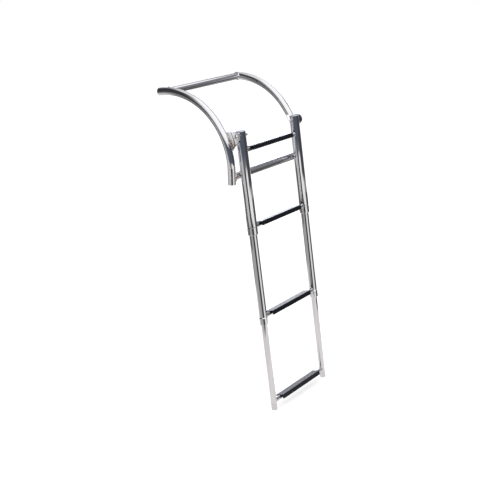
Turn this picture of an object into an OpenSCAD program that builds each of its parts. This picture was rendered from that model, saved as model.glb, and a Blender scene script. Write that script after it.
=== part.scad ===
// Telescopic boat boarding ladder that hooks over a gunwale or an inflatable side tube.
// The frame is X along the rungs, +Y towards the boat and +Z up. The origin is the centre
// of the two arm bends, midway between the arms, where the axis of the boat's side tube lies.

/* [Widths] */
// Distance between the two stile centres
stile_pitch = 298; // [270:1:310]

/* [Arms] */
// Outside diameter of the arm tubes
arm_od = 25; // [24:0.5:26]
// Wall of the arm tubes
arm_wall = 1.5; // [1.2:0.1:2]
// Centreline radius of the arm bend
bend_r = 229; // [220:1:240]
// How much the tube's diameter shrinks as it is drawn round the bend
bend_draw = 0.1; // [0.05:0.05:0.4]
// Angle that the lower arm end turns in under the boat's side
arm_tuck = 7; // [4:1:10]
// Straight run at the upper, horizontal end of each arm
upper_run = 14.5; // [10:0.5:40]
// Straight run at the lower end of each arm
lower_run = 38.5; // [34:0.5:60]
// Angle by which the right arm ends short of the top of its bend, to stop at the cross tube
right_short = 3; // [1:0.2:3]

/* [Cross tubes] */
// Outside diameter of the two cross tubes
cross_od = 22; // [20:0.5:23]
// Wall of the cross tubes
cross_wall = 1.5; // [1.2:0.1:2]
// Angle of the upper cross tube before the top of the bend
upper_cross_angle = 5; // [4:0.5:8]
// Place of the lower cross tube along the lower straight run
lower_cross_run = 18; // [14:1:22]
// Air between the hanging stiles and the lower cross tube
rest_gap = 0.4; // [0.3:0.1:2]

/* [Hinge] */
// Height of the hinge axis above the bend centre
hinge_z = 76; // [70:1:82]
// Diameter of the hinge pins
pin_d = 8; // [6:0.5:9]
// Diameter of the domed pin heads
pin_head_d = 14; // [12:0.5:16]
// Height of the domed pin heads
pin_head_h = 4.5; // [3:0.5:6]
// Length of pin that shows inboard of the stile
pin_tail = 13.5; // [6:0.5:16]
// Outside diameter of the pin retaining rings
ring_od = 12.5; // [11:0.5:14]
// Thickness of the pin retaining rings
ring_t = 1; // [0.8:0.1:1.5]
// Depth of the ring groove in the pin
ring_groove = 0.8; // [0.5:0.1:1]
// Radial clearance of the pin in its sleeve
pin_clearance = 0.05; // [0.02:0.01:0.1]
// Outside diameter of the sleeve that lines the stile at the pin
sleeve_od = 12; // [11:0.5:13]
// How far the sleeve stands out from each side of the stile
sleeve_proud = 0.5; // [0.3:0.1:0.8]
// End play between the sleeve and the washer or ring
end_play = 0.3; // [0.2:0.1:0.5]
// Thickness of the hinge lugs
lug_t = 6; // [5:0.5:6.5]
// Radius of the rounded lug end about the pin
lug_r = 15; // [12:0.5:16]
// Depth that the lug is notched round the arm tube
lug_notch = 1.5; // [1:0.1:2]
// Drop of the lug's foot on the arm below the pin
lug_drop = 45; // [36:1:50]
// Outside diameter of the hinge washers
washer_od = 20; // [16:0.5:24]
// Thickness of the hinge washers
washer_t = 2.2; // [1.5:0.1:4]

/* [Stiles] */
// Outside diameter of the upper stiles
upper_od = 32; // [31:0.5:33]
// Outside diameter of the middle stiles
middle_od = 25; // [24.5:0.5:26]
// Outside diameter of the lower stiles
lower_od = 19; // [18:0.5:19.5]
// Wall of all the stile tubes
stile_wall = 1.5; // [1.4:0.1:1.6]
// Bevel at the stile ends above the collars
stile_bevel = 0.8; // [0.3:0.1:1]
// Height of the capped stile top above the hinge axis
stile_top_rise = 15; // [14:0.5:18]

/* [Rungs and treads] */
// Outside diameter of the rung tubes
rung_od = 14; // [13:0.5:16]
// Wall of the rung tubes
rung_wall = 1.2; // [1:0.1:1.5]
// Drop of the top rung below the hinge axis
rung_1_drop = 46.5; // [42:0.5:60]
// Drop of the second rung below the hinge axis
rung_2_drop = 286; // [284:1:300]
// Drop of the third rung below the hinge axis
rung_3_drop = 580; // [576:1:590]
// Drop of the fourth rung below the hinge axis
rung_4_drop = 868; // [866:1:885]
// Drop of the feet below the hinge axis
foot_drop = 896; // [894:1:930]
// Length of the treads
tread_length = 222; // [180:1:230]
// Depth of the treads, front to back
tread_depth = 29; // [24:0.5:29.5]
// Height of the treads
tread_h = 14; // [13:0.5:15]
// Thickness of the tread's top plate
plate_t = 3.5; // [3:0.1:4.5]
// Thickness of the tread's front skirt and back lip
skirt_t = 3.5; // [3:0.1:4]
// Drop of the back lip below the top plate
lip_drop = 2; // [1:0.5:3]
// Thickness of the tread over the rung tube
tread_cover = 1.5; // [1.3:0.1:2.5]
// Radius of the tread's long top edges
tread_edge_r = 2; // [1:0.5:4]
// Tilt that lifts the tread's front edge, to lie level when the feet hang in under the boat
tread_tilt = 7.5; // [0:0.5:10]
// Number of grip grooves along each tread top
groove_count = 6; // [3:1:7]
// Spacing of the grip grooves
groove_pitch = 3.8; // [3:0.1:4]
// Width of each grip groove
groove_w = 0.8; // [0.6:0.1:1.5]
// Depth of each grip groove
groove_depth = 0.4; // [0.3:0.1:0.9]

/* [Collars and glides] */
// Height of the collars at the stile ends
collar_h = 25; // [20:1:26]
// How much wider than the stile the middle collars are
middle_collar_swell = 1.6; // [0:0.1:2]
// Bevel at the collar edges
collar_bevel = 1.3; // [0.4:0.1:1.4]
// Height of the collar spigot inside the stile
spigot_h = 6; // [5:0.5:8]
// Radial clearance of the sliding tubes
slide_clearance = 0.3; // [0.2:0.05:0.35]
// Height of the glides on the sliding tubes
glide_h = 12; // [10:0.5:13]
// Thickness of the glide rim over the tube end
glide_rim = 1.5; // [1:0.1:2]
// Air under the glides when a section is fully out
stop_gap = 0.2; // [0.1:0.1:0.5]

/* [Caps and plugs] */
// Thickness of the stile top caps
cap_t = 3; // [2:0.5:4]
// Air between the cap spigot and the hinge sleeve
cap_air = 1; // [0.5:0.1:2]
// Thickness of the arm end plugs
plug_t = 2.5; // [2:0.5:4]
// Depth of the arm end plug spigots
plug_spigot = 12; // [8:1:16]
// Thickness of the foot plugs
foot_t = 4; // [3:0.5:6]
// Depth of the foot plug spigots
foot_spigot = 12; // [8:1:14]
// Rounding of the cap and plug edges
edge_r = 1.5; // [0.5:0.1:1.8]

/* [Hidden] */
$fn = 96;
// Small overrun that keeps cutting faces apart
eps = 1;

polished = "#c9ccd2";
plastic = "#26282c";
nylon = "#34363a";

// Places along the arm
cross_y_up = -bend_r * sin(upper_cross_angle);
cross_z_up = bend_r * cos(upper_cross_angle);
cross_y_low = -bend_r * cos(arm_tuck) + lower_cross_run * sin(arm_tuck);
cross_z_low = -bend_r * sin(arm_tuck) - lower_cross_run * cos(arm_tuck);

// The stiles hang just in front of the lower cross tube
stile_y = cross_y_low - (upper_od + cross_od) / 2 - rest_gap;
upper_id = upper_od - 2 * stile_wall;
middle_id = middle_od - 2 * stile_wall;
lower_id = lower_od - 2 * stile_wall;
stile_top_z = hinge_z + stile_top_rise - cap_t;
cap_spigot = stile_top_rise - cap_t - sleeve_od / 2 - cap_air;
tread_rise = rung_od / 2 + tread_cover;

// Heights of the rungs, the seams and the sliding tube tops
rung_z = [for (drop = [rung_1_drop, rung_2_drop, rung_3_drop, rung_4_drop]) hinge_z - drop];
foot_z = hinge_z - foot_drop;
middle_top_z = rung_z[1] + spigot_h + stop_gap + glide_h;
lower_top_z = rung_z[2] + spigot_h + stop_gap + glide_h;

// Places along the hinge pin, counted outwards from the middle of the ladder
sleeve_in = stile_pitch / 2 - upper_od / 2 - sleeve_proud;
sleeve_out = stile_pitch / 2 + upper_od / 2 + sleeve_proud;
washer_in = sleeve_out + end_play;
lug_in = washer_in + washer_t;
lug_out = lug_in + lug_t;
arm_pitch = 2 * (lug_out - lug_notch) + arm_od;
ring_in = sleeve_in - end_play - ring_t;
pin_in = sleeve_in - pin_tail;

// The lug outline is drawn about the pin, with its first axis towards the arm
function arm_offset(z) = -sqrt(pow(bend_r, 2) - pow(z, 2)) - stile_y;
lug_foot = [arm_offset(hinge_z - lug_drop), -lug_drop];
lug_foot_angle = atan2(lug_foot[1], lug_foot[0]) - acos(lug_r / norm(lug_foot));

// A solid following the arm's centreline, made longer by over at both ends. The left arm has
// a straight upper run and the right arm ends in the bend.
module arm_sweep(d, side, over = 0) {
    short = side > 0 ? right_short - over / bend_r * 180 / PI : 0;
    rotate([90, 0, 90]) {
        rotate([0, 0, 90 + short])
            rotate_extrude(angle = 90 + arm_tuck - short)
                translate([bend_r, 0])
                    circle(d = d - bend_draw);
        if (side < 0)
            rotate([0, 0, 90])
                translate([bend_r, 0, 0])
                    rotate([90, 0, 0])
                        cylinder(d = d, h = upper_run + over);
        rotate([0, 0, 180 + arm_tuck])
            translate([bend_r, 0, 0])
                rotate([-90, 0, 0])
                    cylinder(d = d, h = lower_run + over);
    }
}

// The outside of an arm with the full bend, which the cross tubes and lugs are shaped to
module arm_outside(side) {
    translate([side * arm_pitch / 2, 0, 0])
        arm_sweep(arm_od, -1);
}

module arm_tube(side) {
    color(polished)
        translate([side * arm_pitch / 2, 0, 0])
            difference() {
                arm_sweep(arm_od, side);
                arm_sweep(arm_od - 2 * arm_wall, side, eps);
            }
}

// A tube along X centred on the middle plane
module tube_x(d, wall, length) {
    rotate([0, 90, 0])
        difference() {
            cylinder(d = d, h = length, center = true);
            cylinder(d = d - 2 * wall, h = length + 2 * eps, center = true);
        }
}

// A cross tube whose ends are shaped to the two arms
module cross_tube(y, z) {
    color(polished)
        difference() {
            translate([0, y, z])
                tube_x(cross_od, cross_wall, arm_pitch);
            arm_outside(-1);
            arm_outside(1);
        }
}

// A plug standing on z = 0: a disc with a rounded rim above and a spigot below
module plug(d, t, spigot_d, spigot_depth) {
    rotate_extrude() {
        square([d / 2 - edge_r, t]);
        square([d / 2, t - edge_r]);
        translate([d / 2 - edge_r, t - edge_r])
            intersection() {
                circle(r = edge_r);
                square(edge_r);
            }
        translate([0, -spigot_depth])
            square([spigot_d / 2, spigot_depth]);
    }
}

module arm_plug(depth = plug_spigot, play = 0) {
    plug(arm_od - play / 2, plug_t, arm_od - 2 * arm_wall - play, depth);
}

module arm_upper_plugs() {
    color(polished)
        for (side = [-1, 1])
            translate([side * arm_pitch / 2, 0, 0])
                rotate([side > 0 ? right_short : 0, 0, 0])
                    translate([0, side > 0 ? 0 : upper_run, bend_r])
                        rotate([-90, 0, 0])
                            if (side > 0)
                                arm_plug(plug_spigot / 2, 4 * bend_draw);
                            else
                                arm_plug();
}

module arm_lower_plugs() {
    color(polished)
        for (side = [-1, 1])
            translate([side * arm_pitch / 2, 0, 0])
                rotate([90, 0, 90])
                    rotate([0, 0, 180 + arm_tuck])
                        translate([bend_r, lower_run, 0])
                            rotate([-90, 0, 0])
                                arm_plug();
}

// The straight-sided body of the lug, from the pin to its long foot on the arm
module lug_web() {
    polygon([
        [0, lug_r],
        [arm_offset(hinge_z + lug_r), lug_r],
        lug_foot,
        [lug_r * cos(lug_foot_angle), lug_r * sin(lug_foot_angle)]
    ]);
}

// A plate lug notched round the arm tube and bored for the pin
module hinge_lug(side) {
    color(polished)
        difference() {
            translate([side * (lug_in + lug_out) / 2, stile_y, hinge_z])
                rotate([90, 0, 90])
                    difference() {
                        union() {
                            linear_extrude(lug_t, center = true)
                                lug_web();
                            cylinder(r = lug_r, h = lug_t, center = true);
                        }
                        cylinder(d = pin_d, h = 2 * lug_t, center = true);
                    }
            arm_outside(side);
        }
}

// Puts a piece drawn along +Z onto the hinge axis, pointing outwards
module on_hinge(side, x) {
    translate([side * x, stile_y, hinge_z])
        rotate([0, side * 90, 0])
            children();
}

// Half section of a domed head standing on y = 0
module dome_section(d, h) {
    dome_r = (pow(d / 2, 2) + pow(h, 2)) / (2 * h);
    intersection() {
        translate([0, h - dome_r])
            circle(r = dome_r);
        square([d / 2, h]);
    }
}

module hinge_pin(side) {
    length = lug_out - pin_in;
    groove_low = ring_in - pin_in;
    r = pin_d / 2;
    color(polished)
        on_hinge(side, pin_in)
            rotate_extrude() {
                polygon([
                    [0, 0],
                    [r - ring_groove, 0],
                    [r, ring_groove],
                    [r, groove_low],
                    [r - ring_groove, groove_low],
                    [r - ring_groove, groove_low + ring_t],
                    [r, groove_low + ring_t],
                    [r, length],
                    [0, length]
                ]);
                translate([0, length])
                    dome_section(pin_head_d, pin_head_h);
            }
}

// Open spring rings that sit in the pin grooves
module hinge_retaining_rings() {
    hole_r = pin_d / 2 - ring_groove;
    color(polished)
        for (side = [-1, 1])
            on_hinge(side, ring_in)
                difference() {
                    cylinder(d = ring_od, h = ring_t);
                    translate([0, 0, -eps])
                        cylinder(r = hole_r, h = ring_t + 2 * eps);
                    translate([0, -hole_r / 2, -eps])
                        cube([ring_od, hole_r, ring_t + 2 * eps]);
                }
}

module hinge_washers() {
    color(nylon)
        for (side = [-1, 1])
            on_hinge(side, washer_in)
                difference() {
                    cylinder(d = washer_od, h = washer_t);
                    translate([0, 0, -eps])
                        cylinder(d = pin_d, h = washer_t + 2 * eps);
                }
}

module hinge_sleeves() {
    color(nylon)
        for (side = [-1, 1])
            on_hinge(side, sleeve_in)
                difference() {
                    cylinder(d = sleeve_od, h = sleeve_out - sleeve_in);
                    translate([0, 0, -eps])
                        cylinder(d = pin_d + 2 * pin_clearance, h = sleeve_out - sleeve_in + 2 * eps);
                }
}

module at_stile(side, z) {
    translate([side * stile_pitch / 2, stile_y, z])
        children();
}

// A stile tube from its lower end to its upper end
module stile_tube(od, low_z, high_z) {
    difference() {
        cylinder(d = od, h = high_z - low_z);
        translate([0, 0, -eps])
            cylinder(d = od - 2 * stile_wall, h = high_z - low_z + 2 * eps);
    }
}

// A ring that bevels the outer edge of a tube's lower end at z = 0
module seam_cut(od) {
    difference() {
        translate([0, 0, -eps])
            cylinder(d = od + 3 * eps, h = stile_bevel + 2 * eps);
        translate([0, 0, -2 * eps])
            cylinder(d1 = od - 2 * stile_bevel - 4 * eps, d2 = od + 4 * eps, h = stile_bevel + 4 * eps);
    }
}

module upper_stile(side) {
    color(polished)
        difference() {
            at_stile(side, rung_z[1])
                stile_tube(upper_od, rung_z[1], stile_top_z);
            at_stile(side, rung_z[1])
                seam_cut(upper_od);
            on_hinge(side, stile_pitch / 2 - upper_od)
                cylinder(d = sleeve_od, h = 2 * upper_od);
        }
}

module middle_stile(side) {
    color(polished)
        at_stile(side, rung_z[2])
            difference() {
                stile_tube(middle_od, rung_z[2], middle_top_z);
                seam_cut(middle_od);
            }
}

module lower_stile(side) {
    color(polished)
        at_stile(side, foot_z + foot_t)
            stile_tube(lower_od, foot_z + foot_t, lower_top_z);
}

module stile_cap(side) {
    color(polished)
        at_stile(side, stile_top_z)
            plug(upper_od, cap_t, upper_id, cap_spigot);
}

module foot_plug(side) {
    color(polished)
        at_stile(side, foot_z + foot_t)
            mirror([0, 0, 1])
                plug(lower_od, foot_t, lower_id, foot_spigot);
}

// A collar hanging from a seam at z = 0, with a spigot up into the outer tube
module collar(outer_od, inner_od, swell) {
    bore_r = inner_od / 2 + slide_clearance;
    seam_r = outer_od / 2;
    body_r = seam_r + swell / 2;
    rotate_extrude()
        polygon([
            [bore_r, spigot_h],
            [seam_r - stile_wall, spigot_h],
            [seam_r - stile_wall, 0],
            [seam_r - collar_bevel, 0],
            [body_r, -collar_bevel - swell],
            [body_r, collar_bevel - collar_h],
            [body_r - collar_bevel, -collar_h],
            [bore_r + collar_bevel / 2, -collar_h],
            [bore_r, collar_bevel - collar_h]
        ]);
}

module upper_collar(side) {
    color(polished)
        at_stile(side, rung_z[1])
            collar(upper_od, middle_od, 0);
}

module middle_collar(side) {
    color(polished)
        at_stile(side, rung_z[2])
            collar(middle_od, lower_od, middle_collar_swell);
}

// A glide pressed over the top of a sliding tube, standing on z = 0
module glide(tube_od, guide_id) {
    hug_r = tube_od / 2;
    out_r = guide_id / 2 - slide_clearance;
    top = glide_h + glide_rim;
    rotate_extrude()
        polygon([
            [hug_r, 0],
            [out_r, 0],
            [out_r, glide_h],
            [out_r - glide_rim / 2, top],
            [hug_r - stile_wall, top],
            [hug_r - stile_wall, glide_h],
            [hug_r, glide_h]
        ]);
}

module middle_glide(side) {
    color(nylon)
        at_stile(side, middle_top_z - glide_h)
            glide(middle_od, upper_id);
}

module lower_glide(side) {
    color(nylon)
        at_stile(side, lower_top_z - glide_h)
            glide(lower_od, middle_id);
}

// A rung tube whose ends are shaped to the stiles, and to the collars where it crosses a seam
module rung_tube(z, stile_od) {
    color(polished)
        difference() {
            translate([0, stile_y, z])
                tube_x(rung_od, rung_wall, stile_pitch);
            for (side = [-1, 1]) {
                at_stile(side, z - rung_od)
                    cylinder(d = stile_od, h = 2 * rung_od);
                if (stile_od == middle_od)
                    at_stile(side, z)
                        collar(middle_od, lower_od, middle_collar_swell);
            }
        }
}

module tread_outline() {
    half = tread_depth / 2;
    low = tread_rise - tread_h;
    under = tread_rise - plate_t;
    difference() {
        union() {
            translate([-half, low])
                square([tread_depth, tread_h - tread_edge_r]);
            translate([-half + tread_edge_r, low])
                square([tread_depth - 2 * tread_edge_r, tread_h]);
            for (end = [-1, 1])
                translate([end * (half - tread_edge_r), tread_rise - tread_edge_r])
                    circle(r = tread_edge_r);
        }
        translate([-half + skirt_t, low - eps])
            square([tread_depth - 2 * skirt_t, under - low + eps]);
        translate([half - skirt_t - eps, low - eps])
            square([skirt_t + 2 * eps, under - lip_drop - low + eps]);
        circle(d = rung_od);
        for (i = [0 : groove_count - 1])
            translate([(i - (groove_count - 1) / 2) * groove_pitch - groove_w / 2, tread_rise - groove_depth])
                square([groove_w, groove_depth + eps]);
    }
}

// A tread moulding that sits on a rung tube, with a front skirt and a short back lip
module tread(z) {
    color(plastic)
        translate([0, stile_y, z])
            rotate([-tread_tilt, 0, 0])
                rotate([90, 0, 90])
                    linear_extrude(tread_length, center = true)
                        tread_outline();
}

module left_arm_tube() { arm_tube(-1); }
module right_arm_tube() { arm_tube(1); }
module upper_cross_tube() { cross_tube(cross_y_up, cross_z_up); }
module lower_cross_tube() { cross_tube(cross_y_low, cross_z_low); }
module left_hinge_lug() { hinge_lug(-1); }
module right_hinge_lug() { hinge_lug(1); }
module left_hinge_pin() { hinge_pin(-1); }
module right_hinge_pin() { hinge_pin(1); }
module left_upper_stile() { upper_stile(-1); }
module right_upper_stile() { upper_stile(1); }
module left_stile_cap() { stile_cap(-1); }
module right_stile_cap() { stile_cap(1); }
module top_rung_tube() { rung_tube(rung_z[0], upper_od); }
module top_tread() { tread(rung_z[0]); }
module second_rung_tube() { rung_tube(rung_z[1], upper_od); }
module second_tread() { tread(rung_z[1]); }
module left_upper_collar() { upper_collar(-1); }
module right_upper_collar() { upper_collar(1); }
module left_middle_stile() { middle_stile(-1); }
module right_middle_stile() { middle_stile(1); }
module left_middle_glide() { middle_glide(-1); }
module right_middle_glide() { middle_glide(1); }
module third_rung_tube() { rung_tube(rung_z[2], middle_od); }
module third_tread() { tread(rung_z[2]); }
module left_middle_collar() { middle_collar(-1); }
module right_middle_collar() { middle_collar(1); }
module left_lower_stile() { lower_stile(-1); }
module right_lower_stile() { lower_stile(1); }
module left_lower_glide() { lower_glide(-1); }
module right_lower_glide() { lower_glide(1); }
module bottom_rung_tube() { rung_tube(rung_z[3], lower_od); }
module bottom_tread() { tread(rung_z[3]); }
module left_foot_plug() { foot_plug(-1); }
module right_foot_plug() { foot_plug(1); }

left_arm_tube();
right_arm_tube();
upper_cross_tube();
lower_cross_tube();
arm_upper_plugs();
arm_lower_plugs();
left_hinge_lug();
right_hinge_lug();
left_hinge_pin();
right_hinge_pin();
hinge_retaining_rings();
hinge_washers();
left_upper_stile();
right_upper_stile();
left_stile_cap();
right_stile_cap();
hinge_sleeves();
top_rung_tube();
top_tread();
second_rung_tube();
second_tread();
left_upper_collar();
right_upper_collar();
left_middle_stile();
right_middle_stile();
left_middle_glide();
right_middle_glide();
third_rung_tube();
third_tread();
left_middle_collar();
right_middle_collar();
left_lower_stile();
right_lower_stile();
left_lower_glide();
right_lower_glide();
bottom_rung_tube();
bottom_tread();
left_foot_plug();
right_foot_plug();
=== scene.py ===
"""Boat boarding ladder: polished stainless tubes, weld beads, black treads and a white studio."""

import math

import bmesh
import bpy
from bpy.props import FloatProperty, FloatVectorProperty, IntProperty, PointerProperty
from mathutils import Matrix, Vector


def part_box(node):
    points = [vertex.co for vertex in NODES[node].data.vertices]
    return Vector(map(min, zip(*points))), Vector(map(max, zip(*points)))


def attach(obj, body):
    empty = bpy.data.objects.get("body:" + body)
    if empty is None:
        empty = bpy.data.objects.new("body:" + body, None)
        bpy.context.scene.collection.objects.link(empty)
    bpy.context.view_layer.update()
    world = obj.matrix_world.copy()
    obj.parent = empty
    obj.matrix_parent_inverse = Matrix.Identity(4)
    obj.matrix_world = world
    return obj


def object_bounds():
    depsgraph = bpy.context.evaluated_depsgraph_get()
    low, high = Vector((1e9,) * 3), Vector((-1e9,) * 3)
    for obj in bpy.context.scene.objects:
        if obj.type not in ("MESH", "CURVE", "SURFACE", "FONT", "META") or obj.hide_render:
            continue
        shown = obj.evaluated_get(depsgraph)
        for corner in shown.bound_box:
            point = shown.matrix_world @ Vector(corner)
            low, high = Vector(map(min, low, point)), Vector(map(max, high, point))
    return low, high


bl_info = {
    "name": "Boat boarding ladder",
    "version": (1, 0, 0),
    "blender": (4, 5, 0),
    "location": "View3D > Sidebar > Ladder",
    "description": "Finishes and stages a telescopic stainless boarding ladder",
    "category": "Object",
}

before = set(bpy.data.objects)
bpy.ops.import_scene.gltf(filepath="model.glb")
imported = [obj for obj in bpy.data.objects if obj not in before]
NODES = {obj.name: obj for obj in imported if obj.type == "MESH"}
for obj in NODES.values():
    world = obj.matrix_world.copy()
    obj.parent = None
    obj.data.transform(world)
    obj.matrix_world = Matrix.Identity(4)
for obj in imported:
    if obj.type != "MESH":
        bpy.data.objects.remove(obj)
CAD_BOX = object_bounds()
MM = 0.001

# The pieces that share one finish
ARM_NODES = ("left_arm_tube", "right_arm_tube", "arm_upper_plugs", "arm_lower_plugs")
CROSS_NODES = ("upper_cross_tube", "lower_cross_tube")
STILE_NODES = (
    "left_upper_stile", "right_upper_stile", "left_stile_cap", "right_stile_cap",
    "left_middle_stile", "right_middle_stile", "left_lower_stile", "right_lower_stile",
    "left_foot_plug", "right_foot_plug",
)
COLLAR_NODES = ("left_upper_collar", "right_upper_collar", "left_middle_collar", "right_middle_collar")
RUNG_NODES = ("top_rung_tube", "second_rung_tube", "third_rung_tube", "bottom_rung_tube")
TREAD_NODES = ("top_tread", "second_tread", "third_tread", "bottom_tread")
LUG_NODES = ("left_hinge_lug", "right_hinge_lug")
PIN_NODES = ("left_hinge_pin", "right_hinge_pin", "hinge_retaining_rings")
NYLON_NODES = (
    "hinge_washers", "hinge_sleeves", "left_middle_glide", "right_middle_glide",
    "left_lower_glide", "right_lower_glide",
)
# Each rung with the stile that it is welded to and the body that carries both
RUNG_JOINTS = (
    ("top_rung_tube", "left_upper_stile", "upper_section"),
    ("second_rung_tube", "left_upper_stile", "upper_section"),
    ("third_rung_tube", "left_middle_stile", "middle_section"),
    ("bottom_rung_tube", "left_lower_stile", "lower_section"),
)

# Points round a rung weld and round a cross tube weld, and steps along a weld pass on a lug
RUNG_WELD_POINTS = 72
CROSS_WELD_POINTS = 84
LUG_WELD_STEPS = 40
# Where each weld pass on a lug begins and ends, as shares of the lug's height
LUG_PASSES = ((0.02, 0.95), (0.12, 0.72), (0.24, 0.56))

# The set in metres: a round floor and a dome above it, with room for one screen inside another
FLOOR_RADIUS = 3.0
DOME_RADIUS = 3.1
DOME_LAYER = 0.01
STATION_RISE = math.radians(20)
# The grid of a screen: widest and narrowest column in degrees, and height of a row in stations
WIDEST_COLUMN = 4
NARROWEST_COLUMN = 0.5
ROW_HEIGHT = 0.06

# The tints of the light that the screens and mats give off
COOL = "#F2F5FF"
PLAIN = "#FFFFFF"
WARM = "#FFFCFA"
SLATE = "#CFDEFF"
LAVENDER = "#DDE3FF"
BROWN = "#FFF3E6"
# What the steel mirrors, each as name, first and last azimuth and soft edge in degrees, lowest and
# highest station and soft edge, brightness against white paper, and tint. A station is metres from
# the ladder as far as the floor reaches, and then one more for each STATION_RISE up the dome.
SCREENS = (
    ("mat_white", 0, 360, 8, 0, 3, 0.1, 0.87, WARM),
    ("scrim_overhead", 188, 376, 40, 4.65, 8.2, 0.5, 1.36, PLAIN),
    ("mat_left", 130, 196, 20, 0.96, 3.0, 0.3, 0.46, PLAIN),
    ("mat_front_left", 199, 243, 10, 0.9, 3.0, 0.1, 0.06, PLAIN),
    ("mat_front", 254, 289, 10, 0.74, 3.0, 0.1, 1.05, PLAIN),
    ("mat_right", 293, 408, 12, 0.86, 3.0, 0.1, 0.1, PLAIN),
    ("mat_back_right", 350, 400, 10, 1.3, 2.3, 0.3, 0.34, PLAIN),
    ("screen_left", 66, 172, 44, 3.3, 7.0, 1.0, 0.06, COOL),
    ("screen_low_left", 90, 147, 10, 2.9, 3.28, 0.12, 0.14, BROWN),
    ("screen_front", 171, 262, 12, 3.29, 4.3, 0.08, 0.17, SLATE),
    ("screen_right", 256, 356, 24, 3.11, 4.6, 0.1, 0.085, COOL),
    ("screen_back_right", 318, 376, 24, 3.65, 5.72, 0.3, 0.29, COOL),
    ("panel_left", 152, 186, 8, 2.9, 3.38, 0.1, 0.7, PLAIN),
    ("mat_back_left", 55, 122, 14, 1.45, 3.0, 0.2, 0.3, PLAIN),
    ("mat_low_left", 120, 152, 8, 2.25, 3.0, 0.12, 0.13, BROWN),
    ("panel_lugs", 139, 144.6, 1, 3.2, 3.6, 0.06, 1.45, PLAIN),
    ("panel_front_left", 192, 226, 8, 2.9, 3.32, 0.06, 0.07, PLAIN),
    ("strip_front_high", 222, 260, 6, 3.14, 3.29, 0.04, 1.1, PLAIN),
    ("strip_front_low", 236, 283, 8, 2.85, 3.16, 0.05, 1.08, PLAIN),
    ("screen_low_right", 290, 400, 10, 2.85, 3.11, 0.05, 0.1, BROWN),
    ("screen_back", 10, 62, 16, 4.2, 5.6, 0.3, 0.31, LAVENDER),
    ("strip_back_high", 14, 62, 12, 4.04, 4.28, 0.12, 1.57, LAVENDER),
    ("strip_back_low", 14, 62, 12, 3.5, 4.04, 0.12, 4.4, COOL),
    ("strip_back_caps", 26, 46, 4, 4.13, 4.24, 0.04, 0.62, LAVENDER),
    ("mat_feet", 0, 360, 8, 0, 0.5, 0.3, 0.95, WARM),
)
# The lamps, each as name, place, the point that it faces, width in metres and power in watts
LAMPS = (
    ("overhead_softbox", (-0.3, -0.4, 2.4), (0, -0.2, -0.2), 3.4, 44),
    ("left_softbox", (-2.6, 0.6, 1.2), (0, -0.2, -0.3), 2.2, 22),
)


def linear(hex_colour):
    """An sRGB hex colour as linear red, green, blue and full alpha."""
    parts = [int(hex_colour[i:i + 2], 16) / 255 for i in (1, 3, 5)]
    return tuple(c / 12.92 if c <= 0.04045 else ((c + 0.055) / 1.055) ** 2.4 for c in parts) + (1.0,)


def add_node(tree, kind, settings=None, inputs=None):
    """Adds a node with its settings. An input is a plain value, or another node's output to link."""
    new = tree.nodes.new(kind)
    for name, value in (settings or {}).items():
        setattr(new, name, value)
    for name, value in (inputs or {}).items():
        if isinstance(value, bpy.types.NodeSocket):
            tree.links.new(value, new.inputs[name])
        else:
            new.inputs[name].default_value = value
    return new


def empty_material(name):
    """A new material with its node tree cleared."""
    material = bpy.data.materials.new(name)
    material.use_nodes = True
    material.node_tree.nodes.clear()
    return material


def finish_nodes(names, material):
    """Gives CAD nodes a material."""
    for name in names:
        mesh = NODES[name].data
        mesh.materials.clear()
        mesh.materials.append(material)


def centre_and_reach(node):
    """The middle of a CAD node's box and half its size on each axis."""
    low, high = (Vector(corner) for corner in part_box(node))
    return (low + high) / 2, (high - low) / 2


def arm_sizes():
    """How far the arms stand from the middle, the radius of their tube and the radius of their bend."""
    arm_middle, arm_reach = centre_and_reach("left_arm_tube")
    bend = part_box("left_arm_tube")[1][2] - arm_reach.x
    return abs(arm_middle.x), arm_reach.x, bend


SET_MIDDLE = centre_and_reach("top_rung_tube")[0]


def fade(value, low, high, width):
    """1 between low and high, falling smoothly to 0 over the width centred on each of them."""
    share = min(value - low, high - value) / width + 0.5
    share = min(max(share, 0.0), 1.0)
    return share * share * (3 - 2 * share)


def sweep_point(azimuth, station, layer):
    """A point of the floor or the dome. Each layer lies a little inside the one before."""
    turn = math.radians(azimuth)
    foot = CAD_BOX[0][2]
    if station < FLOOR_RADIUS:
        radius = max(station, 0.0)
        height = foot + (1 + layer) * MM
    else:
        dome = DOME_RADIUS - DOME_LAYER * layer
        rise = math.atan2(foot, FLOOR_RADIUS) + STATION_RISE * (station - FLOOR_RADIUS)
        rise = min(rise, math.pi / 2)
        radius = dome * math.cos(rise)
        height = dome * math.sin(rise)
    return SET_MIDDLE.x + radius * math.cos(turn), SET_MIDDLE.y + radius * math.sin(turn), height


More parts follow.
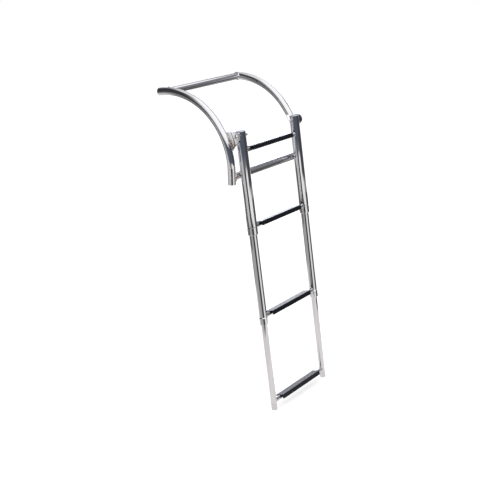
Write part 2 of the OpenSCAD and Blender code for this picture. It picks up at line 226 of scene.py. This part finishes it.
class LadderFinish(bpy.types.PropertyGroup):
    """Colours and surface finish."""

    steel: FloatVectorProperty(
        name="Steel", description="Colour of the polished stainless steel", subtype="COLOR",
        size=4, min=0, max=1, default=linear("#D9D8DA"))
    steel_gloss: FloatProperty(
        name="Steel roughness", description="Mean roughness of the polished tube", subtype="FACTOR",
        min=0, max=1, default=0.03)
    weld: FloatVectorProperty(
        name="Weld", description="Colour of the brushed weld beads", subtype="COLOR",
        size=4, min=0, max=1, default=linear("#F0E6DC"))
    weld_heat: FloatVectorProperty(
        name="Heat tint", description="Colour of the heat tint on the weld beads", subtype="COLOR",
        size=4, min=0, max=1, default=linear("#7C6354"))
    tread: FloatVectorProperty(
        name="Tread", description="Colour of the tread's sides", subtype="COLOR",
        size=4, min=0, max=1, default=linear("#202127"))
    # Paler top colour: partly real scuffing, partly painted light falling on the top.
    tread_lit_top_and_wear: FloatVectorProperty(
        name="Worn tread", description="Colour of the scuffed tread top", subtype="COLOR",
        size=4, min=0, max=1, default=linear("#2C2D35"))
    nylon: FloatVectorProperty(
        name="Nylon", description="Colour of the washers, sleeves and glides", subtype="COLOR",
        size=4, min=0, max=1, default=linear("#2A2B2F"))
    nylon_pale: FloatVectorProperty(
        name="Pale nylon", description="Colour of the paler clouds in the nylon", subtype="COLOR",
        size=4, min=0, max=1, default=linear("#3A3B40"))


class LadderWelds(bpy.types.PropertyGroup):
    """Sizes of the weld beads."""

    rung_bead: FloatProperty(
        name="Rung bead", description="Radius of the weld beads round the rung ends", unit="LENGTH",
        min=0.5 * MM, max=4 * MM, default=1.8 * MM)
    cross_bead: FloatProperty(
        name="Cross tube bead", description="Radius of the weld beads round the upper cross tube ends",
        unit="LENGTH", min=0.5 * MM, max=5 * MM, default=3 * MM)
    cross_fillet: FloatProperty(
        name="Lower cross tube bead", description="Radius of the heavier beads on the lower cross tube",
        unit="LENGTH", min=0.5 * MM, max=6 * MM, default=5 * MM)
    lug_bead: FloatProperty(
        name="Lug bead", description="Radius of each weld pass along the hinge lugs", unit="LENGTH",
        min=0.5 * MM, max=6 * MM, default=3.4 * MM)
    pass_gap: FloatProperty(
        name="Pass spacing", description="Distance between the weld passes on a lug", unit="LENGTH",
        min=1 * MM, max=8 * MM, default=4.4 * MM)
    ripple: FloatProperty(
        name="Ripple spacing", description="Spacing of the ripples along a bead", unit="LENGTH",
        min=1 * MM, max=6 * MM, default=2.2 * MM)
    ripple_depth: FloatProperty(
        name="Ripple depth", description="How much each ripple narrows the bead", subtype="FACTOR",
        min=0, max=0.5, default=0.06)
    bend_tuck: FloatProperty(
        name="Arm tuck", description="Angle that the lower arm ends turn in", unit="ROTATION",
        min=0, max=math.radians(20), default=math.radians(7))
    sides: IntProperty(
        name="Bead sides", description="Faces round a bead", min=6, max=24, default=10)


class LadderStage(bpy.types.PropertyGroup):
    """Camera and studio."""

    azimuth: FloatProperty(
        name="Azimuth", description="Camera angle round the ladder", unit="ROTATION",
        default=math.radians(-52.17))
    elevation: FloatProperty(
        name="Elevation", description="Camera angle above the horizon", unit="ROTATION",
        default=math.radians(13.15))
    roll: FloatProperty(
        name="Roll", description="Camera turn about its own axis", unit="ROTATION",
        default=math.radians(-7.21))
    distance: FloatProperty(
        name="Distance", description="From the camera to the point it looks at", unit="LENGTH",
        min=0.5, default=3.086)
    target: FloatVectorProperty(
        name="Target", description="The point that the camera looks at", subtype="XYZ", unit="LENGTH",
        default=(-0.2177, -0.2519, -0.2336))
    lens: FloatProperty(
        name="Lens", description="Focal length in millimetres on a 36 mm wide sensor",
        min=10, default=75.72)
    ambient: FloatProperty(
        name="Ambient", description="Strength of the white room on matt surfaces", min=0, default=0.5)
    floor_reach: FloatProperty(
        name="Floor reach", description="Half the width of the floor", unit="LENGTH", min=1, default=12)
    lift_near: FloatProperty(
        name="Near lift", description="Light that the floor adds near the ladder", min=0, default=0.5)
    lift_far: FloatProperty(
        name="Far lift", description="Light that the floor adds away from the lamps",
        min=0, default=0.75)


def polished_stainless(name, along):
    """Drawn 316 stainless tube, ground and mirror polished along its length.

    It gives the eye hard bright and dark bands that run with the tube, a little uneven in gloss,
    with faint streaks along the polishing direction. The streaks are drawn about ten times coarser
    than the real grit so that they show.
    """
    finish = bpy.context.scene.ladder_finish
    material = empty_material(name)
    tree = material.node_tree
    streak = 1 / (6 * MM)
    drawn_out = 40
    stretch = [streak if axis != along else streak / drawn_out for axis in "XYZ"]
    place = add_node(tree, "ShaderNodeTexCoord").outputs["Object"]
    drawn = add_node(tree, "ShaderNodeMapping", inputs={"Vector": place, "Scale": stretch})
    streaks = add_node(
        tree, "ShaderNodeTexNoise", inputs={"Vector": drawn.outputs[0], "Scale": 1.0, "Detail": 3.0})
    haze = add_node(
        tree, "ShaderNodeTexNoise", inputs={"Vector": place, "Scale": 1 / (45 * MM), "Detail": 2.0})
    uneven = add_node(
        tree, "ShaderNodeMath", {"operation": "MULTIPLY"},
        {0: streaks.outputs["Fac"], 1: haze.outputs["Fac"]})
    gloss = add_node(
        tree, "ShaderNodeMapRange", inputs={
            "Value": uneven.outputs[0], "From Min": 0.15, "From Max": 0.4,
            "To Min": finish.steel_gloss * 0.7, "To Max": finish.steel_gloss * 1.5})
    lines = add_node(
        tree, "ShaderNodeBump", inputs={
            "Height": streaks.outputs["Fac"], "Strength": 0.012, "Distance": 0.1 * MM})
    shader = add_node(
        tree, "ShaderNodeBsdfPrincipled", inputs={
            "Base Color": finish.steel, "Metallic": 1.0,
            "Roughness": gloss.outputs[0], "Normal": lines.outputs[0]})
    add_node(tree, "ShaderNodeOutputMaterial", inputs={"Surface": shader.outputs[0]})
    return material


def brushed_weld(name):
    """TIG weld bead, wire brushed but not polished.

    It gives the eye a duller ring between two mirror tubes, mottled brown by the heat in blotches
    about 4 mm wide. The ripples are in the bead's own shape.
    """
    finish = bpy.context.scene.ladder_finish
    material = empty_material(name)
    tree = material.node_tree
    place = add_node(tree, "ShaderNodeTexCoord").outputs["Object"]
    grain = add_node(
        tree, "ShaderNodeTexNoise", inputs={"Vector": place, "Scale": 1 / (4 * MM), "Detail": 4.0})
    blotch = add_node(
        tree, "ShaderNodeMapRange", inputs={
            "Value": grain.outputs["Fac"], "From Min": 0.35, "From Max": 0.7})
    heat = add_node(
        tree, "ShaderNodeMix", {"data_type": "RGBA"},
        {"Factor": blotch.outputs[0], "A": finish.weld, "B": finish.weld_heat})
    relief = add_node(
        tree, "ShaderNodeBump", inputs={
            "Height": grain.outputs["Fac"], "Strength": 0.3, "Distance": 0.3 * MM})
    shader = add_node(
        tree, "ShaderNodeBsdfPrincipled", inputs={
            "Base Color": heat.outputs["Result"], "Metallic": 1.0, "Roughness": 0.28,
            "Normal": relief.outputs[0]})
    add_node(tree, "ShaderNodeOutputMaterial", inputs={"Surface": shader.outputs[0]})
    return material


def moulded_tread(name):
    """Black polypropylene moulded in a spark-eroded tool, painted paler grey on top: partly scuffing,
    partly painted light from above.

    It gives the eye a dull black front and a paler, finely grained top that catches the light.
    The grain is drawn at 1.5 mm, coarser than the real 0.3 mm, so that it shows.
    """
    finish = bpy.context.scene.ladder_finish
    material = empty_material(name)
    tree = material.node_tree
    surface = add_node(tree, "ShaderNodeTexCoord").outputs
    place = surface["Object"]
    grain = add_node(
        tree, "ShaderNodeTexNoise", inputs={"Vector": place, "Scale": 1 / (1.5 * MM), "Detail": 2.0})
    patches = add_node(
        tree, "ShaderNodeTexNoise", inputs={"Vector": place, "Scale": 1 / (25 * MM), "Detail": 3.0})
    facing = add_node(tree, "ShaderNodeSeparateXYZ", inputs={"Vector": surface["Normal"]})
    # Faces that point up get the paler colour in patches: painted light from above, mixed with
    # scuffing.
    lit_top_and_wear = add_node(
        tree, "ShaderNodeMath", {"operation": "MULTIPLY", "use_clamp": True},
        {0: facing.outputs["Z"], 1: patches.outputs["Fac"]})
    colour = add_node(
        tree, "ShaderNodeMix", {"data_type": "RGBA"},
        {"Factor": lit_top_and_wear.outputs[0], "A": finish.tread, "B": finish.tread_lit_top_and_wear})
    relief = add_node(
        tree, "ShaderNodeBump", inputs={
            "Height": grain.outputs["Fac"], "Strength": 0.1, "Distance": 0.1 * MM})
    dull = add_node(
        tree, "ShaderNodeMapRange", inputs={
            "Value": patches.outputs["Fac"], "To Min": 0.14, "To Max": 0.26})
    shader = add_node(
        tree, "ShaderNodeBsdfPrincipled", inputs={
            "Base Color": colour.outputs["Result"], "Roughness": dull.outputs[0], "IOR": 1.49,
            "Specular IOR Level": 0.08, "Normal": relief.outputs[0]})
    add_node(tree, "ShaderNodeOutputMaterial", inputs={"Surface": shader.outputs[0]})
    return material


def turned_nylon(name):
    """Black nylon turned from bar.

    It gives the eye a soft dark grey with faint machining rings about 0.3 mm apart.
    """
    finish = bpy.context.scene.ladder_finish
    material = empty_material(name)
    tree = material.node_tree
    place = add_node(tree, "ShaderNodeTexCoord").outputs["Object"]
    cloud = add_node(
        tree, "ShaderNodeTexNoise", inputs={"Vector": place, "Scale": 1 / (8 * MM), "Detail": 2.0})
    colour = add_node(
        tree, "ShaderNodeMix", {"data_type": "RGBA"},
        {"Factor": cloud.outputs["Fac"], "A": finish.nylon, "B": finish.nylon_pale})
    rings = add_node(
        tree, "ShaderNodeTexWave", {"wave_type": "BANDS", "bands_direction": "X"},
        {"Vector": place, "Scale": 1 / (1 * MM)})
    relief = add_node(
        tree, "ShaderNodeBump", inputs={
            "Height": rings.outputs["Fac"], "Strength": 0.1, "Distance": 0.05 * MM})
    shader = add_node(
        tree, "ShaderNodeBsdfPrincipled", inputs={
            "Base Color": colour.outputs["Result"], "Roughness": 0.45, "IOR": 1.53,
            "Normal": relief.outputs[0]})
    add_node(tree, "ShaderNodeOutputMaterial", inputs={"Surface": shader.outputs[0]})
    return material


def directly_seen(tree):
    """1 for rays from the camera, from a mirror and through glass, and 0 for matt bounces."""
    ray = add_node(tree, "ShaderNodeLightPath").outputs
    seen = add_node(
        tree, "ShaderNodeMath", {"operation": "MAXIMUM"},
        {0: ray["Is Camera Ray"], 1: ray["Is Glossy Ray"]})
    shown = add_node(
        tree, "ShaderNodeMath", {"operation": "MAXIMUM"},
        {0: seen.outputs[0], 1: ray["Is Transmission Ray"]})
    return shown.outputs[0]


def bead_piece(name, path, closed, bead, material, body):
    """Makes a rippled weld bead that follows a path and rides on a body. An open one has round ends."""
    welds = bpy.context.scene.ladder_welds
    count = len(path)
    spans = count if closed else count - 1
    lengths = [(path[(i + 1) % count] - path[i]).length for i in range(spans)]
    run = sum(lengths)
    ripples = max(1, round(run / welds.ripple))
    nearly_parallel = 0.95
    bluntness = 0.1
    mesh = bmesh.new()
    rings = []
    side = Vector((1, 0, 0))
    for i, point in enumerate(path):
        if closed:
            heading = path[(i + 1) % count] - path[i - 1]
        else:
            heading = path[min(i + 1, count - 1)] - path[max(i - 1, 0)]
        heading.normalize()
        if abs(heading.dot(side)) > nearly_parallel:
            across = heading.orthogonal()
        else:
            across = heading.cross(side)
        across.normalize()
        other = heading.cross(across)
        share = i / spans
        radius = bead * (1 - welds.ripple_depth * (1 + math.cos(math.tau * ripples * share)) / 2)
        if not closed:
            to_end = min(share, 1 - share) * run / bead
            radius *= math.sqrt(min(to_end + bluntness, 1.0))
        ring = []
        for k in range(welds.sides):
            turn = math.tau * k / welds.sides
            outward = math.cos(turn) * across + math.sin(turn) * other
            ring.append(mesh.verts.new(point + radius * outward))
        rings.append(ring)
    for i in range(spans):
        here = rings[i]
        there = rings[(i + 1) % count]
        for k in range(welds.sides):
            following = (k + 1) % welds.sides
            mesh.faces.new((here[k], here[following], there[following], there[k]))
    if not closed:
        mesh.faces.new(list(reversed(rings[0])))
        mesh.faces.new(rings[-1])
    bmesh.ops.recalc_face_normals(mesh, faces=mesh.faces)
    data = bpy.data.meshes.new(name)
    mesh.to_mesh(data)
    mesh.free()
    data.shade_smooth()
    data.materials.append(material)
    piece = bpy.data.objects.new(name, data)
    bpy.context.scene.collection.objects.link(piece)
    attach(piece, body)


def ring_points(radius, count):
    """Points of a circle as pairs, for going round a tube."""
    return [
        (radius * math.cos(math.tau * i / count), radius * math.sin(math.tau * i / count))
        for i in range(count)
    ]


class LADDER_OT_polish_tubes(bpy.types.Operator):
    """Polishes the arms, cross tubes, stiles, rungs, collars and plugs"""

    bl_idname = "ladder.polish_tubes"
    bl_label = "Polish tubes"

    def execute(self, context):
        upright = polished_stainless("stainless_tube_polished_upright", "Z")
        level = polished_stainless("stainless_tube_polished_level", "X")
        bent = polished_stainless("stainless_tube_polished_bend", "Y")
        finish_nodes(STILE_NODES + COLLAR_NODES, upright)
        finish_nodes(RUNG_NODES + CROSS_NODES, level)
        finish_nodes(ARM_NODES, bent)
        return {"FINISHED"}


class LADDER_OT_finish_hinges(bpy.types.Operator):
    """Finishes the hinge lugs, pins, rings and nylon pieces"""

    bl_idname = "ladder.finish_hinges"
    bl_label = "Finish hinges"

    def execute(self, context):
        plate = polished_stainless("stainless_plate_polished", "Y")
        finish_nodes(LUG_NODES, plate)
        finish_nodes(PIN_NODES, polished_stainless("stainless_pin_turned_polished", "X"))
        finish_nodes(NYLON_NODES, turned_nylon("nylon_black_turned"))
        return {"FINISHED"}


class LADDER_OT_mould_treads(bpy.types.Operator):
    """Finishes the four treads"""

    bl_idname = "ladder.mould_treads"
    bl_label = "Mould treads"

    def execute(self, context):
        finish_nodes(TREAD_NODES, moulded_tread("polypropylene_black_moulded"))
        return {"FINISHED"}


class LADDER_OT_weld_joints(bpy.types.Operator):
    """Runs weld beads round the rung ends, the cross tube ends and the hinge lugs"""

    bl_idname = "ladder.weld_joints"
    bl_label = "Weld joints"

    def execute(self, context):
        brushed = brushed_weld("stainless_weld_brushed")
        ground = polished_stainless("stainless_weld_polished", "X")
        self.weld_rungs(ground)
        self.weld_cross_tubes(ground, brushed)
        self.weld_lugs(brushed)
        return {"FINISHED"}

    def weld_rungs(self, material):
        """A bead on the saddle where each rung tube meets each stile."""
        welds = bpy.context.scene.ladder_welds
        for rung, stile, body in RUNG_JOINTS:
            middle, reach = centre_and_reach(rung)
            stile_middle, stile_reach = centre_and_reach(stile)
            for side in (-1, 1):
                path = []
                for y, z in ring_points(reach.z, RUNG_WELD_POINTS):
                    inset = math.sqrt(stile_reach.x ** 2 - y ** 2)
                    x = side * (abs(stile_middle.x) - inset)
                    path.append(Vector((x, middle.y + y, middle.z + z)))
                name = f"{rung}_weld_{'left' if side < 0 else 'right'}"
                bead_piece(name, path, True, welds.rung_bead, material, body)

    def weld_cross_tubes(self, ground, brushed):
        """A bead on the saddle where each cross tube meets each arm, polished only on the upper one."""
        arm_x, arm_radius, bend = arm_sizes()
        welds = bpy.context.scene.ladder_welds
        finishes = ((ground, welds.cross_bead), (brushed, welds.cross_fillet))
        for tube, (finish, bead) in zip(CROSS_NODES, finishes):
            middle, reach = centre_and_reach(tube)
            for side in (-1, 1):
                path = []
                for y, z in ring_points(reach.z, CROSS_WELD_POINTS):
                    if tube == "upper_cross_tube":
                        off = math.hypot(middle.y + y, middle.z + z) - bend
                    else:
                        off = y * math.cos(welds.bend_tuck) + z * math.sin(welds.bend_tuck)
                    inset = math.sqrt(arm_radius ** 2 - off ** 2)
                    path.append(Vector((side * (arm_x - inset), middle.y + y, middle.z + z)))
                name = f"{tube}_weld_{'left' if side < 0 else 'right'}"
                bead_piece(name, path, True, bead, finish, "arms")

    def weld_lugs(self, material):
        """Three passes side by side on the outer face of each lug, the outer ones shorter."""
        arm_x, arm_radius, bend = arm_sizes()
        welds = bpy.context.scene.ladder_welds
        for side, lug in zip((-1, 1), LUG_NODES):
            low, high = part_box(lug)
            face = max(abs(low[0]), abs(high[0]))
            off = math.sqrt(arm_radius ** 2 - (arm_x - face) ** 2)
            for number, (first, last) in enumerate(LUG_PASSES):
                radius = bend + off + number * welds.pass_gap
                path = []
                for i in range(LUG_WELD_STEPS + 1):
                    share = first + (last - first) * i / LUG_WELD_STEPS
                    z = low[2] + (high[2] - low[2]) * share
                    path.append(Vector((side * face, -math.sqrt(radius ** 2 - z ** 2), z)))
                name = f"{lug}_weld_{number + 1}"
                bead_piece(name, path, False, welds.lug_bead, material, "arms")


class LADDER_OT_set_stage(bpy.types.Operator):
    """Sets the floor, the white room, the screens, the lamps and the camera"""

    bl_idname = "ladder.set_stage"
    bl_label = "Set stage"

    def execute(self, context):
        self.white_room(context.scene)
        self.floor(context.scene.ladder_stage)
        self.surround()
        self.lamps()
        self.camera(context.scene)
        context.scene.view_settings.view_transform = "Standard"
        return {"FINISHED"}

    def white_room(self, scene):
        """White to the camera and in reflections, softer on matt surfaces."""
        stage = scene.ladder_stage
        world = bpy.data.worlds.new("white_room")
        scene.world = world
        world.use_nodes = True
        tree = world.node_tree
        tree.nodes.clear()
        shown = directly_seen(tree)
        soft = add_node(
            tree, "ShaderNodeBackground", inputs={"Color": (1, 1, 1, 1), "Strength": stage.ambient})
        white = add_node(tree, "ShaderNodeBackground", inputs={"Color": (1, 1, 1, 1), "Strength": 1.0})
        mixed = add_node(
            tree, "ShaderNodeMixShader", inputs={0: shown, 1: soft.outputs[0], 2: white.outputs[0]})
        add_node(tree, "ShaderNodeOutputWorld", inputs={"Surface": mixed.outputs[0]})

    def floor(self, stage):
        """A pale floor that adds light of its own to what is seen of it, and more beyond the lamps."""
        material = empty_material("paper_white_sweep")
        tree = material.node_tree
        shown = directly_seen(tree)
        paper = add_node(tree, "ShaderNodeBsdfDiffuse", inputs={"Color": linear("#E8E8E8")})
        place = add_node(tree, "ShaderNodeTexCoord").outputs["Object"]
        away = add_node(tree, "ShaderNodeVectorMath", {"operation": "LENGTH"}, {0: place})
        amount = add_node(
            tree, "ShaderNodeMapRange", inputs={
                "Value": away.outputs["Value"], "From Min": 1.2, "From Max": 3.0,
                "To Min": stage.lift_near, "To Max": stage.lift_far})
        lift = add_node(
            tree, "ShaderNodeEmission", inputs={"Color": (1, 1, 1, 1), "Strength": amount.outputs[0]})
        dark = add_node(tree, "ShaderNodeEmission", inputs={"Strength": 0.0})
        shine = add_node(
            tree, "ShaderNodeMixShader", inputs={0: shown, 1: dark.outputs[0], 2: lift.outputs[0]})
        both = add_node(tree, "ShaderNodeAddShader", inputs={0: paper.outputs[0], 1: shine.outputs[0]})
        add_node(tree, "ShaderNodeOutputMaterial", inputs={"Surface": both.outputs[0]})
        gap_under_feet = 0.5 * MM
        level = CAD_BOX[0][2] - gap_under_feet
        signs = ((-1, -1), (1, -1), (1, 1), (-1, 1))
        corners = [(x * stage.floor_reach, y * stage.floor_reach, level) for x, y in signs]
        data = bpy.data.meshes.new("floor")
        data.from_pydata(corners, [], [(0, 1, 2, 3)])
        data.materials.append(material)
        floor = bpy.data.objects.new("floor", data)
        bpy.context.scene.collection.objects.link(floor)

    def surround(self):
        """Soft-edged screens and mats round the set that only the steel and the treads mirror."""
        # The screens glow: their tones are emitted light, not dye, and only reflections show them.
        material = empty_material("glowing_screens_for_reflections")
        tree = material.node_tree
        cover = add_node(tree, "ShaderNodeAttribute", {"attribute_name": "cover"})
        shade = add_node(tree, "ShaderNodeAttribute", {"attribute_name": "shade"})
        clear = add_node(tree, "ShaderNodeBsdfTransparent")
        glowing_sheet = add_node(tree, "ShaderNodeEmission", inputs={"Color": shade.outputs["Color"]})
        both = add_node(
            tree, "ShaderNodeMixShader",
            inputs={0: cover.outputs["Fac"], 1: clear.outputs[0], 2: glowing_sheet.outputs[0]})
        add_node(tree, "ShaderNodeOutputMaterial", inputs={"Surface": both.outputs[0]})
        for layer, screen in enumerate(SCREENS):
            self.screen(layer, screen, material)

    def screen(self, layer, screen, material):
        """One screen or mat, which fades out at its edges. Later layers stand nearer to the ladder."""
        name, first, last, side_fade, low, high, end_fade, bright, tint = screen
        width = last - first + side_fade
        height = high - low + end_fade
        column = min(WIDEST_COLUMN, max(side_fade / 2, NARROWEST_COLUMN))
        columns = max(2, round(width / column))
        rows = max(2, round(height / ROW_HEIGHT))
        verts = []
        covers = []
        for i in range(columns + 1):
            azimuth = first - side_fade / 2 + width * i / columns
            across = fade(azimuth, first, last, side_fade)
            for j in range(rows + 1):
                station = low - end_fade / 2 + height * j / rows
                verts.append(sweep_point(azimuth, station, layer))
                covers.append(across * fade(station, low, high, end_fade))
        faces = []
        for i in range(columns):
            for j in range(rows):
                here = i * (rows + 1) + j
                beside = here + rows + 1
                faces.append((here, here + 1, beside + 1, beside))
        data = bpy.data.meshes.new(name)
        data.from_pydata(verts, [], faces)
        data.attributes.new("cover", "FLOAT", "POINT").data.foreach_set("value", covers)
        shade = [bright * channel for channel in linear(tint)[:3]] + [1.0]
        shades = data.attributes.new("shade", "FLOAT_COLOR", "POINT").data
        shades.foreach_set("color", shade * len(verts))
        data.materials.append(material)
        glowing_sheet = bpy.data.objects.new(name, data)
        bpy.context.scene.collection.objects.link(glowing_sheet)
        glowing_sheet.visible_camera = False
        glowing_sheet.visible_diffuse = False
        glowing_sheet.visible_shadow = False
        glowing_sheet.visible_transmission = False

    def lamps(self):
        """Two large soft boxes, one overhead and one on the camera's left."""
        for name, place, aim, size, power in LAMPS:
            light = bpy.data.lights.new(name, "AREA")
            light.shape = "SQUARE"
            light.size = size
            light.energy = power
            lamp = bpy.data.objects.new(name, light)
            lamp.location = place
            lamp.rotation_euler = (Vector(aim) - Vector(place)).to_track_quat("-Z", "Y").to_euler()
            lamp.visible_glossy = False
            bpy.context.scene.collection.objects.link(lamp)

    def camera(self, scene):
        """A camera at the angle, roll and distance that the ladder is seen from."""
        stage = scene.ladder_stage
        back = Vector((
            math.sin(stage.azimuth) * math.cos(stage.elevation),
            -math.cos(stage.azimuth) * math.cos(stage.elevation),
            math.sin(stage.elevation),
        ))
        right = (-back).cross(Vector((0, 0, 1))).normalized()
        up = right.cross(-back)
        rolled_right = math.cos(stage.roll) * right + math.sin(stage.roll) * up
        rolled_up = math.cos(stage.roll) * up - math.sin(stage.roll) * right
        turn = Matrix((rolled_right, rolled_up, back)).transposed()
        data = bpy.data.cameras.new("camera")
        data.sensor_width = 36
        data.lens = stage.lens
        camera = bpy.data.objects.new("camera", data)
        place = Vector(stage.target) + back * stage.distance
        camera.matrix_world = Matrix.Translation(place) @ turn.to_4x4()
        scene.collection.objects.link(camera)
        scene.camera = camera


class LADDER_PT_panel(bpy.types.Panel):
    """Lists the steps that dress the ladder"""

    bl_idname = "LADDER_PT_panel"
    bl_label = "Boarding ladder"
    bl_space_type = "VIEW_3D"
    bl_region_type = "UI"
    bl_category = "Ladder"

    def draw(self, context):
        for step in STEPS:
            self.layout.operator(step.bl_idname)


STEPS = (
    LADDER_OT_polish_tubes,
    LADDER_OT_finish_hinges,
    LADDER_OT_mould_treads,
    LADDER_OT_weld_joints,
    LADDER_OT_set_stage,
)
CLASSES = (LadderFinish, LadderWelds, LadderStage) + STEPS + (LADDER_PT_panel,)


def register():
    """Registers the classes and the scene's settings."""
    for cls in CLASSES:
        bpy.utils.register_class(cls)
    bpy.types.Scene.ladder_finish = PointerProperty(type=LadderFinish)
    bpy.types.Scene.ladder_welds = PointerProperty(type=LadderWelds)
    bpy.types.Scene.ladder_stage = PointerProperty(type=LadderStage)


def unregister():
    """Removes the classes and the scene's settings."""
    del bpy.types.Scene.ladder_stage
    del bpy.types.Scene.ladder_welds
    del bpy.types.Scene.ladder_finish
    for cls in reversed(CLASSES):
        bpy.utils.unregister_class(cls)


def main():
    """Dresses the ladder."""
    register()
    bpy.ops.ladder.polish_tubes()
    bpy.ops.ladder.finish_hinges()
    bpy.ops.ladder.mould_treads()
    bpy.ops.ladder.weld_joints()
    bpy.ops.ladder.set_stage()
    bpy.context.view_layer.update()


if __name__ == "__main__":
    main()
